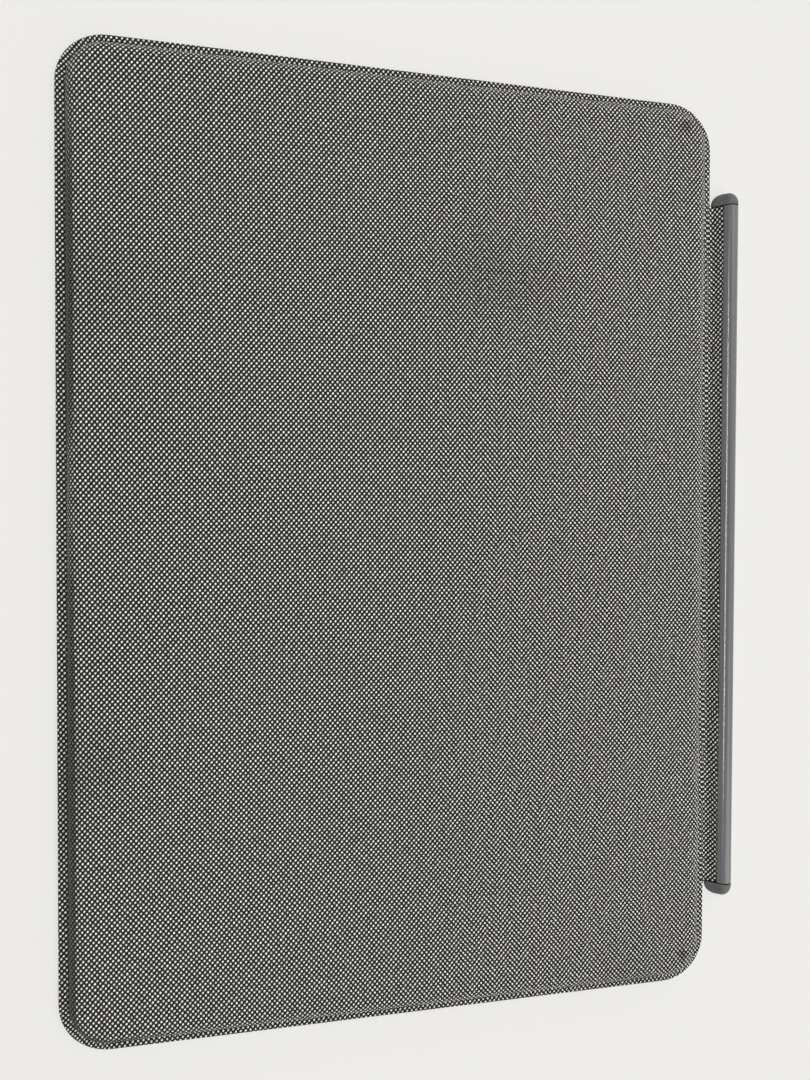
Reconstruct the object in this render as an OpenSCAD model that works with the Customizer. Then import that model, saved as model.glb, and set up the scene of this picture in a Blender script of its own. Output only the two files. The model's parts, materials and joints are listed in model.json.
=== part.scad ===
// Detachable keyboard of a tablet case: woven panel, short fabric hinge and magnetic connector bar.
// It lies with its keys down. Z is the depth from the face of the key deck to the woven back,
// X runs along the long side, and +Y points to the connector bar. Millimetres.

/* [Panel] */
// Length of the long side
panel_l = 252; // [246:1:270]
// Depth from the front edge to the hinge edge
panel_d = 176.5; // [172:0.5:190]
// Overall thickness
panel_t = 5.6; // [5.4:0.1:7]
// Radius of the four corners
corner_r = 12.5; // [11:0.5:16]
// Width of the thin pressed rim
rim_w = 2.6; // [2:0.1:3.4]
// Radius of the crown where the wall turns into the back
crown_r = 2.2; // [1.6:0.1:2.6]
// Lean of the wall from upright, in degrees
wall_lean = 13; // [5:1:20]

/* [Skins and shells] */
// Thickness of the woven back skin
back_skin_t = 0.5; // [0.4:0.05:0.7]
// Thickness of the woven skin on the key side
front_skin_t = 0.5; // [0.4:0.05:0.7]
// Thickness of the tray's flange inside the rim
core_t = 0.4; // [0.3:0.05:0.6]
// Wall thickness of the back tray
tray_t = 0.7; // [0.5:0.05:0.8]
// Thickness of the deck frame
deck_t = 1.0; // [0.8:0.05:1.1]
// Film of glue between a skin and its shell
glue = 0.05; // [0.03:0.01:0.1]

/* [Keys] */
// Distance from each end of the panel to the rows of keys
key_side = 9.4; // [8.8:0.1:12]
// Distance between rows
pitch_y = 16.6; // [16.2:0.1:16.8]
// Gap between two keycaps
key_gap = 2.0; // [1.8:0.1:2.3]
// Depth of a keycap in the row of function keys
function_d = 7.6; // [7.2:0.1:8]
// Distance from the hinge edge to the first keycaps
key_margin = 9.6; // [9:0.1:12]
// Depth of the key faces below the deck's face
cap_recess = 0.4; // [0.3:0.05:0.5]
// Height of a keycap
cap_h = 1.3; // [1.25:0.05:1.4]
// Thickness of a keycap's top
cap_top_t = 0.65; // [0.5:0.05:0.7]
// Thickness of a keycap's skirt
skirt_t = 0.55; // [0.4:0.05:0.6]
// Corner radius of a keycap
cap_r = 1.3; // [0.8:0.1:1.6]
// Depth of the hollow in a keycap's top
dish_depth = 0.12; // [0.05:0.01:0.2]
// How far a key travels
travel = 1.0; // [0.8:0.05:1]
// Gap round a keycap in its opening
key_clear = 0.25; // [0.2:0.05:0.3]
// Thickness of the grid between the keys
bezel_t = 0.6; // [0.4:0.05:0.8]
// Radius of a heat stake
stake_r = 0.5; // [0.4:0.05:0.6]

/* [Scissor links] */
// Distance between the end pins of the outer link
outer_link_l = 8.4; // [7.8:0.1:8.6]
// Distance between the end pins of the inner link
inner_link_l = 6.4; // [5.8:0.1:6.6]
// Width of the outer link
link_w = 9.4; // [8.6:0.1:9.6]
// Width of the outer link under a half-height key
small_link_w = 4.6; // [4.4:0.1:4.7]
// Width of a link's side bars
link_bar = 0.7; // [0.5:0.05:0.8]
// Width of a small link's side bars
small_link_bar = 0.45; // [0.4:0.05:0.5]
// Radius of the pin where two links cross
cross_pin_r = 0.14; // [0.1:0.01:0.15]
// Thickness of a link's side bars
link_t = 0.66; // [0.6:0.02:0.7]
// Radius of a link's pins
link_pin_r = 0.25; // [0.2:0.01:0.3]
// Running clearance of a link's pin
pin_clear = 0.06; // [0.04:0.01:0.1]

/* [Sheets under the keys] */
// Thickness of the contact membrane
membrane_t = 0.2; // [0.15:0.05:0.3]
// Thickness of the steel switch plate
plate_t = 0.3; // [0.2:0.05:0.4]
// Thickness of the light guide
guide_t = 0.3; // [0.2:0.05:0.4]
// Thickness of a ribbon cable
ribbon_t = 0.15; // [0.1:0.01:0.2]
// Width of a ribbon cable
ribbon_w = 10; // [8:0.5:12]

/* [Trackpad] */
// Width of the trackpad
pad_w = 104; // [96:1:110]
// Distance from the trackpad to the front edge
pad_edge = 11.7; // [10:0.1:16]
// Distance from the last row of keys to the trackpad
pad_margin = 6.6; // [6.4:0.1:8]
// Thickness of the trackpad's surface
pad_t = 0.8; // [0.6:0.05:0.9]
// Thickness of the trackpad's circuit board
pad_board_t = 0.7; // [0.5:0.05:0.8]
// Depth of the trackpad below the deck's face
pad_recess = 0.25; // [0.2:0.05:0.35]
// Gap round the trackpad
pad_clear = 0.3; // [0.2:0.05:0.4]
// Travel of the trackpad at its front edge
pad_travel = 0.28; // [0.2:0.02:0.3]
// Thickness of the steel bracket under the trackpad
bracket_t = 0.5; // [0.4:0.05:0.7]

/* [Connector bar] */
// Distance from each end of the bar to the panel's end
bar_side = 24.7; // [22:0.1:28]
// Length of an end cap
cap_l = 3.3; // [3:0.1:4]
// Height of the bar
bar_h = 4.9; // [4.8:0.05:5.4]
// Width of the bar
bar_w = 6.8; // [6.7:0.05:7.2]
// Free gap between the panel and the bar
hinge_gap = 1.15; // [1.1:0.05:2]
// Radius of the bar's lower outer corner
bar_foot_r = 1.0; // [0.8:0.05:1.2]
// Width of the fabric's seat on the bar
land_w = 2.0; // [1.8:0.05:2.1]
// Width of the contact strip
strip_w = 3.6; // [3.4:0.1:3.7]
// Thickness of the contact strip
strip_t = 0.6; // [0.5:0.05:0.7]
// Depth of the contact strip below the bar's lips
strip_recess = 0.4; // [0.35:0.05:0.5]
// Radius of a contact pin
contact_r = 0.45; // [0.35:0.05:0.5]
// Distance between contact pins
contact_pitch = 4.0; // [3.6:0.1:4.5]
// Height of the pins above the contact strip
contact_proud = 0.35; // [0.3:0.01:0.35]

/* [Hidden] */
// ---- heights above the deck's face
core_z = front_skin_t;
rim_z = core_z + core_t;
rim_top = rim_z + back_skin_t;
bezel_z = core_z + deck_t;
cap_z = cap_recess;
cap_ceiling = cap_z + cap_top_t;
press_gap = 0.2;
membrane_z = cap_z + cap_h + travel + press_gap;
plate_z = membrane_z + membrane_t;
guide_z = plate_z + plate_t;
guide_back = guide_z + guide_t;
tray_in = panel_t - back_skin_t - glue - tray_t;

// ---- places along Y, in the panel's own middle
half_d = panel_d / 2;
panel_y = -(hinge_gap + bar_w) / 2;
fit = 0.1;
eps = 0.01;

// ---- rows of keys: widths in key pitches, from the typist's left
row_units = 14;
function_row = [for (i = [1 : row_units]) 1];
number_row = function_row;
top_row = concat([1.25], [for (i = [0 : 11]) 1], [0.75]);
home_row = concat([1.5], [for (i = [0 : 10]) 1], [1.5]);
lower_row = concat([2], [for (i = [0 : 9]) 1], [2]);
space_row = [1, 1, 1, 1.25, 4.5, 1.25, 1, 1, 1, 1];
row_widths = [function_row, number_row, top_row, home_row, lower_row, space_row];
row_letters = ["", "", "qwertyuiop", "asdfghjkl", "zxcvbnm", ""];
letters = "qwertyuiopasdfghjklzxcvbnm";
last_row = len(row_widths) - 1;
space_index = 4;
up_down_index = 8;
field_w = panel_l - 2 * key_side + key_gap;
pitch_x = field_w / row_units;
cap_d = pitch_y - key_gap;
half_gap = 1.2;
half_cap_d = (cap_d - half_gap) / 2;
field_top = half_d - key_margin;
field_low = row_y(last_row) - cap_d / 2;

function sum(v, n) = n <= 0 ? 0 : v[n - 1] + sum(v, n - 1);
function row_y(row) = row == 0
    ? field_top - function_d / 2
    : field_top - function_d - key_gap - (row - 1) * pitch_y - cap_d / 2;
function key_x(row, i) = field_w / 2 - (sum(row_widths[row], i) + row_widths[row][i] / 2) * pitch_x;
function key_w(row, i) = row_widths[row][i] * pitch_x - key_gap;
function is_letter(row, i) = i >= 1 && i <= len(row_letters[row]);
function key_node(row, i) =
    row == 0 ? "function_keys" :
    row == 1 ? "number_keys" :
    is_letter(row, i) ? str("key_", row_letters[row][i - 1]) :
    row < last_row ? "side_keys" :
    i == space_index ? "key_space" : "bottom_keys";
function half_offset(side) = side * (cap_d - half_cap_d) / 2;

// A key is [x, y, width, depth, node].
function full_key(row, i) =
    [key_x(row, i), row_y(row), key_w(row, i), row == 0 ? function_d : cap_d, key_node(row, i)];
function half_key(i, side) =
    [key_x(last_row, i), row_y(last_row) + half_offset(side), key_w(last_row, i), half_cap_d, "bottom_keys"];
all_keys = concat(
    [for (row = [0 : last_row - 1], i = [0 : len(row_widths[row]) - 1]) full_key(row, i)],
    [for (i = [0 : up_down_index - 2]) full_key(last_row, i)],
    [for (i = [up_down_index - 1 : up_down_index + 1]) half_key(i, -1)],
    [half_key(up_down_index, 1)]);

// ---- scissor links: one set under a key, two under a wide one
wide_key = 1.8 * pitch_x;
inner_pocket = 2 * skirt_t + 2 * link_pin_r;
function set_count(key) = key[2] > wide_key ? 2 : 1;
set_spread = 0.55;
function set_shift(key, n) = set_count(key) == 1 ? 0 : (n - 0.5) * key[2] * set_spread;
function is_small(key) = key[3] < link_w + inner_pocket;
function is_turned(key) = is_small(key) || key[2] < link_w + 2 * link_bar + inner_pocket;
// A set is [x, y, turned, small].
function key_sets(key) = [for (n = [0 : set_count(key) - 1])
    [key[0] + set_shift(key, n), key[1], is_turned(key), is_small(key)]];
link_sets = [for (key = all_keys) each key_sets(key)];
pin_end = 0.35;
link_corner = 0.6 * link_t;
upper_pin_z = cap_ceiling + pin_clear + link_corner;
lower_pin_z = membrane_z - pin_clear - link_corner;
link_rise = lower_pin_z - upper_pin_z;
link_mid_z = (upper_pin_z + lower_pin_z) / 2;
outer_a = asin(link_rise / outer_link_l);
inner_a = asin(link_rise / inner_link_l);
outer_reach = outer_link_l / 2 * cos(outer_a);
inner_reach = inner_link_l / 2 * cos(inner_a);
link_gap = 0.2;
function set_w(small) = small ? small_link_w : link_w;
function bar_width(small) = small ? small_link_bar : link_bar;
function inner_w(small) = set_w(small) - 2 * (bar_width(small) + link_gap);
dome_clear = 0.2;
dome_wall = 0.3;
dome_top_share = 0.6;
function dome_r(small) =
    min(inner_w(small) / 2 - bar_width(small), inner_link_l / 2 - link_pin_r) - dome_clear;
clip_w = 1.0;
hook_w = 0.5;
hook_x = clip_w / 2 + fit + hook_w / 2;
hooks = [[-hook_x, -outer_reach], [hook_x, inner_reach]];
cup_wall = 0.17;
cup_r = link_pin_r + pin_clear;
cup_half = cup_r + cup_wall;

dish_rim = 0.6;
dish_n = 4;

// ---- sheets and well
well_edge = 1.0;
sheet_edge = 2.4;
sheet_l = field_w - key_gap + 2 * sheet_edge;
sheet_top = field_top + sheet_edge;
sheet_low = field_low - sheet_edge;
sheet_d = sheet_top - sheet_low;
sheet_y = (sheet_top + sheet_low) / 2;
well_l = field_w - key_gap + 2 * well_edge;
well_d = field_top - field_low + 2 * well_edge;
well_r = cap_r + well_edge;
stake_step = 2 * pitch_x;
stake_x = [for (n = [-3 : 3]) n * stake_step];
stake_y = [for (row = [1 : last_row]) row_y(row) + cap_d / 2 + key_gap / 2];
stake_lip = 0.3;
stake_head_r = stake_r + stake_lip;
stake_head_t = 0.25;

// ---- trackpad
pad_top = field_low - pad_margin;
pad_d = pad_top + half_d - pad_edge;
pad_y = pad_top - pad_d / 2;
pad_r = 3;
board_r = 2;
bracket_r = 4;
window_r = 5;
window_clear = 4;
leaf_inset = 0.5;
post_end = 6;
pad_board_z = pad_recess + pad_t;
pad_back = pad_board_z + pad_board_t;
board_inset = 2;
bracket_gap = 0.35;
bracket_z = pad_back + pad_travel + bracket_gap;
bracket_edge = 4;
post_r = 1.2;
bracket_posts = [for (sx = [-1, 1], sy = [-1, 1])
    [sx * (pad_w / 2 + pad_clear + bracket_edge / 2), pad_y + sy * (pad_d / 2 - post_end)]];
window_inset = 10;
leaf_l = 12;
leaf_w = 3;
leaf_x = 30;
nub_r = 1.2;
nub_l = 0.25;
switch_r = 2.8;
switch_rim = 0.35;
switch_well_r = nub_r + switch_rim;
switch_dome_t = 0.1;
switch_clear = 0.05;
switch_in = 9;
switch_y = pad_y - pad_d / 2 + switch_in;

// ---- board, ribbon and magnets
main_l = 44;
main_d = 38;
main_t = 0.8;
main_gap = 8;
main_up = 3;
main_x = pad_w / 2 + main_gap + main_l / 2;
main_y = pad_y + main_up;
main_z = membrane_z;
chip_t = 0.9;
chips = [[-8, 4, 12, 12], [10, -6, 8, 8], [9, 9, 6, 5], [-13, -11, 5, 4]];
tail_w = 12;
tail_low = main_y + main_d / 2;
flex_turn = 6;
flex_turn_y = field_low - flex_turn;
flex_end = 4;
flex_rise = 5.2;
flex_z = core_z + (core_t - ribbon_t) / 2;
ribbon_z = guide_back + 0.1;
magnet_r = 2.5;
magnet_h = 1.2;
magnet_edge = 9.2;
magnet_end = 10;
seat_t = 0.5;

// ---- connector bar, with u the distance from the panel's hinge edge
bar_out = hinge_gap + bar_w;
bar_r = bar_h / 2;
bar_u = bar_out - bar_r;
tip_r = 0.35;
tip_u = hinge_gap + tip_r;
tip_low = front_skin_t + glue;
tip_z = tip_low + tip_r;
tip_dist = norm([bar_u - tip_u, bar_r - tip_z]);
slope_a = atan2(bar_r - tip_z, bar_u - tip_u) + asin((bar_r - back_skin_t - tip_r) / tip_dist);
land_end = hinge_gap + land_w;
lip_in = 0.65;
lip_u = land_end - lip_in;
lip_w = 0.8;
strip_u = lip_u + lip_w;
strip_seat = 0.6;
cavity_w = strip_w - lip_w;
cavity_u = strip_u + strip_seat;
bar_roof_t = 1.5;
cavity_top = bar_h - bar_roof_t;
pin_u = cavity_u + cavity_w / 2;
bar_l = panel_l - 2 * bar_side;
tube_l = bar_l - 2 * cap_l;
flap_in = 0.3;
flap_half = tube_l / 2 - flap_in;
flap_fillet = 1.0;
lining_end = lip_u - fit;
seam = 0.06;
plug_l = 2.5;
plug_clear = 0.05;
cap_slab = 0.4;
cap_ease = 0.3;
tip_x = 0.8;
block_l = 14;
block_top = cavity_top - 0.1;
pin_shoulder_r = 0.65;
pin_shoulder_t = 0.5;
pin_stroke = 0.35;
pin_base_z = strip_recess + strip_t;
magnet_l = 19;
magnet_gap = 2.2;
shoulder_top = pin_base_z + plug_clear + pin_shoulder_t;
barrel_l = 0.8;
pin_top = shoulder_top + barrel_l;
pin_round = 0.1;
bore_r = contact_r + plug_clear;
shoulder_bore_r = pin_shoulder_r + plug_clear;
first_magnet = block_l / 2 + magnet_gap;
magnets_a_side = floor((tube_l / 2 - plug_l - first_magnet) / (magnet_l + magnet_gap));

// ---- shells and their ribs
crown_n = 8;
crown_inset = rim_w + (panel_t - crown_r + crown_r * sin(wall_lean) - rim_top) * tan(wall_lean)
    + crown_r * cos(wall_lean);
tray_out_t = back_skin_t + glue;
tray_in_t = tray_out_t + tray_t;
core_edge = 0.3;
slot_clear = 0.6;
deck_clear = 0.15;
deck_inset = wall_inset(tray_in_t, bezel_z) + deck_clear;
rib_w = 0.8;
rib_end = 36;
rib_inset = 4;
rib_step = (panel_l - 2 * rib_end) / 6;
rib_x = [for (n = [-3, -2, -1, 1, 2, 3]) n * rib_step];
boss_inset = 3;

// ---- section of the hinge flap and of the bar's sloped seat
slope_n = [-sin(slope_a), cos(slope_a)];
slope_s = [cos(slope_a), sin(slope_a)];
tip_c = [tip_u, tip_z];
bar_c = [bar_u, bar_r];
skin_start = tip_c + (tip_r + back_skin_t) * slope_n;
skin_end = skin_start + (land_end - skin_start[0]) / cos(slope_a) * slope_s;
seat_end = skin_end - back_skin_t * slope_n;
seat_start = tip_c + tip_r * slope_n;
seat_near = seat_start - land_w * slope_s;
fabric_out = skin_end + glue * slope_n - fit * slope_s;
fabric_in = seat_end + glue * slope_n - fit * slope_s;
flap_section = [
    [0, rim_z], [slope_u(fabric_in, rim_z), rim_z], fabric_in,
    fabric_out, [slope_u(fabric_out, rim_top), rim_top], [0, rim_top]];

// ---- shared shapes
// Where a line along the bar's slope through p reaches height z.
function slope_u(p, z) = p[0] + (z - p[1]) / tan(slope_a);

module rounded_square(l, d, r) {
    square([l - 2 * r, d], center = true);
    square([l, d - 2 * r], center = true);
    for (sx = [-1, 1], sy = [-1, 1])
        translate([sx * (l / 2 - r), sy * (d / 2 - r)]) circle(r, $fn = 32);
}

module plate(l, d, r, t) {
    linear_extrude(t) rounded_square(l, d, r);
}

module panel_plate(inset, t) {
    plate(panel_l - 2 * inset, panel_d - 2 * inset, corner_r - inset, t);
}

// Whole microns, so that straights and corners built apart meet on the same line.
function whole(x) = round(x * 1000) / 1000;

// A pan with the panel's outline, from a section of [inset, height] points.
module pan(points) {
    section = [for (p = points) [whole(p[0]), whole(p[1])]];
    side_l = panel_l - 2 * corner_r;
    side_d = panel_d - 2 * corner_r;
    rotate([90, 0, 90]) linear_extrude(side_l, center = true) polygon(across(section, panel_d / 2));
    rotate([90, 0, 0]) linear_extrude(side_d, center = true) polygon(across(section, panel_l / 2));
    quarter(section, side_l / 2, side_d / 2, 0);
    quarter(section, -side_l / 2, side_d / 2, 90);
    quarter(section, -side_l / 2, -side_d / 2, 180);
    quarter(section, side_l / 2, -side_d / 2, 270);
}

module quarter(section, x, y, turn) {
    low = section[0][1];
    top = section[len(section) - 1][1];
    outline = concat([[0, low]], [for (p = section) [corner_r - p[0], p[1]]], [[0, top]]);
    translate([x, y, 0]) rotate([0, 0, turn]) rotate_extrude(angle = 90, $fn = 64) polygon(outline);
}

function across(section, half) = concat(
    [for (p = section) [half - p[0], p[1]]],
    [for (i = [len(section) - 1 : -1 : 0]) [section[i][0] - half, section[i][1]]]);

// Section of the panel's outer surface, offset inwards by t and starting at height low.
function wall_inset(t, z) = rim_w + t / cos(wall_lean) + (z - rim_top) * tan(wall_lean);
function crown_arc(t) = let (r = crown_r - t, zc = panel_t - crown_r)
    [for (n = [0 : crown_n]) let (a = 180 - wall_lean - n * (90 - wall_lean) / crown_n)
        [crown_inset + r * cos(a), zc + r * sin(a)]];
function rim_section(edge, t, low) = concat(
    [[edge, low], [edge, rim_top - t], [wall_inset(t, rim_top - t), rim_top - t]], crown_arc(t));
function wall_section(t, low) = concat([[wall_inset(t, low), low]], crown_arc(t));

module at_panel() {
    translate([0, panel_y, 0]) children();
}

// ---- skins and shells
module back_fabric() {
    color("#6f6d6a") at_panel() difference() {
        pan(rim_section(0, 0, rim_z));
        pan(wall_section(back_skin_t, rim_z - eps));
    }
}

module back_tray() {
    color("#3a3b3d") at_panel() {
        difference() {
            union() {
                pan(wall_section(tray_out_t, core_z));
                translate([0, 0, core_z]) panel_plate(core_edge, core_t);
            }
            pan(wall_section(tray_in_t, core_z - eps));
            translate([0, half_d, core_z - eps])
                linear_extrude(core_t + 2 * eps)
                    square([ribbon_w + slot_clear, 2 * (flex_rise + slot_clear)], center = true);
        }
        for (x = rib_x)
            translate([x - rib_w / 2, sheet_low + rib_inset, guide_back])
                cube([rib_w, sheet_d - 2 * rib_inset, tray_in - guide_back]);
        for (x = [-1, 1], y = [-1, 1]) magnet_seat(x, y);
        for (x = [-1, 1], y = [-1, 1])
            translate([-main_x + x * (main_l / 2 - boss_inset), main_y + y * (main_d / 2 - boss_inset), main_z + main_t])
                cylinder(r = post_r, h = tray_in - main_z - main_t, $fn = 24);
    }
}

module magnet_place(x, y) {
    translate([x * (panel_l / 2 - magnet_edge), y * (half_d - magnet_end), 0]) children();
}

module magnet_seat(x, y) {
    magnet_place(x, y) translate([0, 0, tray_in - magnet_h / 2]) difference() {
        cylinder(r = magnet_r + fit + seat_t, h = magnet_h / 2, $fn = 32);
        translate([0, 0, -eps]) cylinder(r = magnet_r + fit, h = magnet_h, $fn = 32);
    }
}

module key_well(extra, t) {
    translate([0, (field_top + field_low) / 2, 0])
        plate(well_l + 2 * extra, well_d + 2 * extra, well_r + extra, t);
}

module pad_hole(extra, t) {
    translate([0, pad_y, 0])
        plate(pad_w + 2 * (pad_clear + extra), pad_d + 2 * (pad_clear + extra), pad_r + pad_clear + extra, t);
}

module front_fabric() {
    color("#6b6966") at_panel() difference() {
        panel_plate(0, front_skin_t);
        translate([0, 0, -eps]) key_well(0, front_skin_t + 2 * eps);
        translate([0, 0, -eps]) pad_hole(0, front_skin_t + 2 * eps);
    }
}

module deck_frame() {
    color("#4a4b4d") at_panel() {
        difference() {
            translate([0, 0, core_z]) panel_plate(deck_inset, deck_t);
            translate([0, 0, core_z - eps]) key_well(0, deck_t + 2 * eps);
            translate([0, 0, core_z - eps]) pad_hole(0, deck_t + 2 * eps);
            translate([0, half_d - flex_rise, core_z])
                cube([ribbon_w + slot_clear, 2 * (flex_rise - deck_inset + fit), 4 * deck_t], center = true);
        }
        for (p = bracket_posts)
            translate([p[0], p[1], bezel_z]) cylinder(r = post_r, h = bracket_z - bezel_z, $fn = 24);
    }
}

// ---- keys
module key_bezel() {
    color("#2c2d2f") at_panel() {
        difference() {
            translate([0, sheet_y, bezel_z]) plate(sheet_l, sheet_d, cap_r + sheet_edge, bezel_t);
            for (key = all_keys)
                translate([key[0], key[1], bezel_z - eps])
                    plate(key[2] + 2 * key_clear, key[3] + 2 * key_clear, cap_r + key_clear, bezel_t + 2 * eps);
        }
        for (x = stake_x, y = stake_y)
            translate([x, y, bezel_z + bezel_t])
                cylinder(r = stake_r, h = membrane_z - bezel_z - bezel_t, $fn = 16);
    }
}

module keycap(key) {
    w = key[2];
    d = key[3];
    hollow = d / 2 - dish_rim;
    translate([key[0], key[1], 0]) {
        difference() {
            translate([0, 0, cap_z]) plate(w, d, cap_r, cap_h);
            translate([0, 0, cap_ceiling])
                plate(w - 2 * skirt_t, d - 2 * skirt_t, cap_r - skirt_t, cap_h);
            translate([0, 0, cap_z]) rotate([90, 0, 90]) linear_extrude(w + key_gap, center = true)
                polygon([for (n = [-dish_n : dish_n]) let (y = n / dish_n) [y * hollow, dish_depth * (1 - y * y)]]);
        }
    }
    for (set = key_sets(key))
        at_set(set) {
            cup(clip_w, outer_reach, upper_pin_z, cap_ceiling);
            cup(clip_w, -inner_reach, upper_pin_z, cap_ceiling);
        }
}

module at_set(set) {
    translate([set[0], set[1], 0]) rotate([0, 0, set[2] ? 90 : 0]) children();
}

// A snap cup that holds a pin at height z, on a foot that reaches to height foot.
module cup(w, y, z, foot) {
    out = sign(z - foot);
    translate([-w / 2, y, 0]) rotate([90, 0, 90]) linear_extrude(w) difference() {
        translate([-cup_half, min(foot, z + out * cup_r)])
            square([2 * cup_half, abs(z + out * cup_r - foot)]);
        translate([0, z]) circle(cup_r, $fn = 24);
        translate([-link_pin_r, min(z, z + out * 2 * cup_half)]) square([2 * link_pin_r, 2 * cup_half]);
    }
}

module key_group(name) {
    color("#55575a") at_panel() for (key = all_keys) if (key[4] == name) keycap(key);
}

// One link: two side bars, and two cross bars whose ends are its pins.
module link(w, bar, l, a, hole_r) {
    translate([0, 0, link_mid_z]) rotate([a, 0, 0]) difference() {
        union() {
            for (side = [-1, 1]) {
                translate([side * (w - bar) / 2, 0, 0]) cube([bar, l + link_t, link_t], center = true);
                translate([0, side * l / 2, 0]) rotate([0, 90, 0])
                    cylinder(r = link_pin_r, h = w + 2 * pin_end, center = true, $fn = 24);
            }
        }
        if (hole_r > 0) rotate([0, 90, 0]) cylinder(r = hole_r, h = w + bar, center = true, $fn = 24);
    }
}

module link_set(small) {
    bar = bar_width(small);
    outer_w = set_w(small);
    link(outer_w, bar, outer_link_l, -outer_a, cross_pin_r + pin_clear);
    link(inner_w(small), bar, inner_link_l, inner_a, 0);
    for (side = [-1, 1])
        translate([side * (inner_w(small) + link_gap) / 2, 0, link_mid_z]) rotate([0, 90, 0])
            cylinder(r = cross_pin_r, h = link_gap + 2 * bar - fit, center = true, $fn = 24);
}

module scissor_links() {
    color("#c9cac8") at_panel() for (set = link_sets) at_set(set) link_set(set[3]);
}

module dome(r) {
    top_r = r * dome_top_share;
    top_z = cap_ceiling + eps;
    rotate_extrude($fn = 32) polygon([
        [0, top_z], [top_r, top_z], [r, membrane_z], [r - dome_wall, membrane_z],
        [top_r - dome_wall, top_z + 2 * dome_wall], [0, top_z + 2 * dome_wall]]);
}

module rubber_domes() {
    color("#d8d7d2") at_panel() for (set = link_sets) translate([set[0], set[1], 0]) dome(dome_r(set[3]));
}

// ---- sheets under the keys
module hook_places(extra) {
    for (set = link_sets)
        at_set(set) for (hook = hooks)
            translate(hook) square([hook_w + 2 * extra, 2 * (cup_half + extra)], center = true);
}

module stake_places(r) {
    for (x = stake_x, y = stake_y) translate([x, y]) circle(r, $fn = 16);
}

module sheet(inset, z, t) {
    translate([0, 0, z]) linear_extrude(t) difference() {
        translate([0, sheet_y]) rounded_square(sheet_l - 2 * inset, sheet_d - 2 * inset, cap_r + sheet_edge - inset);
        for (x = [-1, 1]) magnet_place(x, 1) circle(magnet_r + fit + seat_t + fit, $fn = 32);
        children();
    }
}

module membrane() {
    color("#b9c4c0") at_panel() {
        sheet(0, membrane_z, membrane_t) {
            hook_places(fit);
            stake_places(stake_r + fit);
        }
        translate([-main_x - tail_w / 2, tail_low, membrane_z])
            cube([tail_w, sheet_low + sheet_edge / 2 - tail_low, membrane_t]);
    }
}

module switch_plate() {
    color("#8f9294") at_panel() {
        sheet(0, plate_z, plate_t) {}
        for (set = link_sets)
            at_set(set) for (hook = hooks)
                translate([hook[0], 0, 0]) cup(hook_w, hook[1], lower_pin_z, plate_z + eps);
    }
}

module light_guide() {
    color("#e8ebec") at_panel() sheet(1, guide_z, guide_t) {}
}

// ---- electronics and magnets
module main_board() {
    color("#1f5136") at_panel() translate([-main_x, main_y, main_z]) {
        translate([-main_l / 2, -main_d / 2, 0]) cube([main_l, main_d, main_t]);
        for (c = chips)
            translate([c[0] - c[2] / 2, c[1] - c[3] / 2, -chip_t]) cube([c[2], c[3], chip_t]);
    }
}

module board_flex() {
    end_y = tail_low - flex_end;
    rise_y = half_d - flex_rise;
    run_x = main_x + ribbon_w / 2;
    color("#b5722d") at_panel() {
        translate([-ribbon_w / 2, rise_y, flex_z]) cube([ribbon_w, flex_rise, ribbon_t]);
        translate([-ribbon_w / 2, rise_y, flex_z]) cube([ribbon_w, ribbon_t, ribbon_z + ribbon_t - flex_z]);
        translate([-ribbon_w / 2, flex_turn_y, ribbon_z]) cube([ribbon_w, rise_y + ribbon_t - flex_turn_y, ribbon_t]);
        translate([-run_x, flex_turn_y, ribbon_z]) cube([run_x + ribbon_w / 2, ribbon_w / 2, ribbon_t]);
        translate([-run_x, end_y, ribbon_z]) cube([ribbon_w, flex_turn_y + ribbon_w / 2 - end_y, ribbon_t]);
    }
}

module latch_magnets() {
    color("#a9adb0") at_panel() for (x = [-1, 1], y = [-1, 1])
        magnet_place(x, y) translate([0, 0, tray_in - magnet_h]) cylinder(r = magnet_r, h = magnet_h, $fn = 32);
}

// ---- trackpad
module trackpad_bracket() {
    edge = pad_clear + bracket_edge;
    window_l = pad_w - 2 * window_inset;
    window_top = pad_top - window_inset;
    window_low = switch_y + switch_r + window_clear;
    leaf_top = pad_back + switch_clear;
    color("#9a9d9f") at_panel() {
        difference() {
            translate([0, pad_y, bracket_z]) plate(pad_w + 2 * edge, pad_d + 2 * edge, bracket_r, bracket_t);
            translate([0, (window_top + window_low) / 2, bracket_z - eps])
                plate(window_l, window_top - window_low, window_r, bracket_t + 2 * eps);
        }
        for (side = [-1, 1])
            translate([side * leaf_x - leaf_l / 2, pad_top - leaf_w - leaf_inset, leaf_top])
                cube([leaf_l, leaf_w, bracket_z - leaf_top + eps]);
    }
}

module trackpad_switch() {
    top = pad_back + pad_travel + switch_clear;
    color("#c5c7c9") at_panel() translate([0, switch_y, 0]) {
        translate([0, 0, top]) difference() {
            cylinder(r = switch_r, h = bracket_z - top, $fn = 48);
            translate([0, 0, -eps]) cylinder(r = switch_well_r, h = bracket_z - top + 2 * eps, $fn = 48);
        }
        translate([0, 0, bracket_z - switch_dome_t])
            cylinder(r = switch_well_r - switch_clear, h = switch_dome_t, $fn = 48);
    }
}

module trackpad_surface() {
    color("#5b5d60") at_panel() translate([0, pad_y, pad_recess]) plate(pad_w, pad_d, pad_r, pad_t);
}

module trackpad_board() {
    color("#23623f") at_panel() {
        translate([0, pad_y, pad_board_z]) plate(pad_w - 2 * board_inset, pad_d - 2 * board_inset, board_r, pad_board_t);
        translate([0, switch_y, pad_back]) cylinder(r = nub_r, h = nub_l, $fn = 32);
    }
}

// ---- hinge flap, drawn in [u, z] with u measured from the panel's hinge edge
module at_hinge() {
    translate([0, panel_y + half_d, 0]) children();
}

module along_bar(l) {
    rotate([90, 0, 90]) linear_extrude(l, center = true) children();
}

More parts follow.
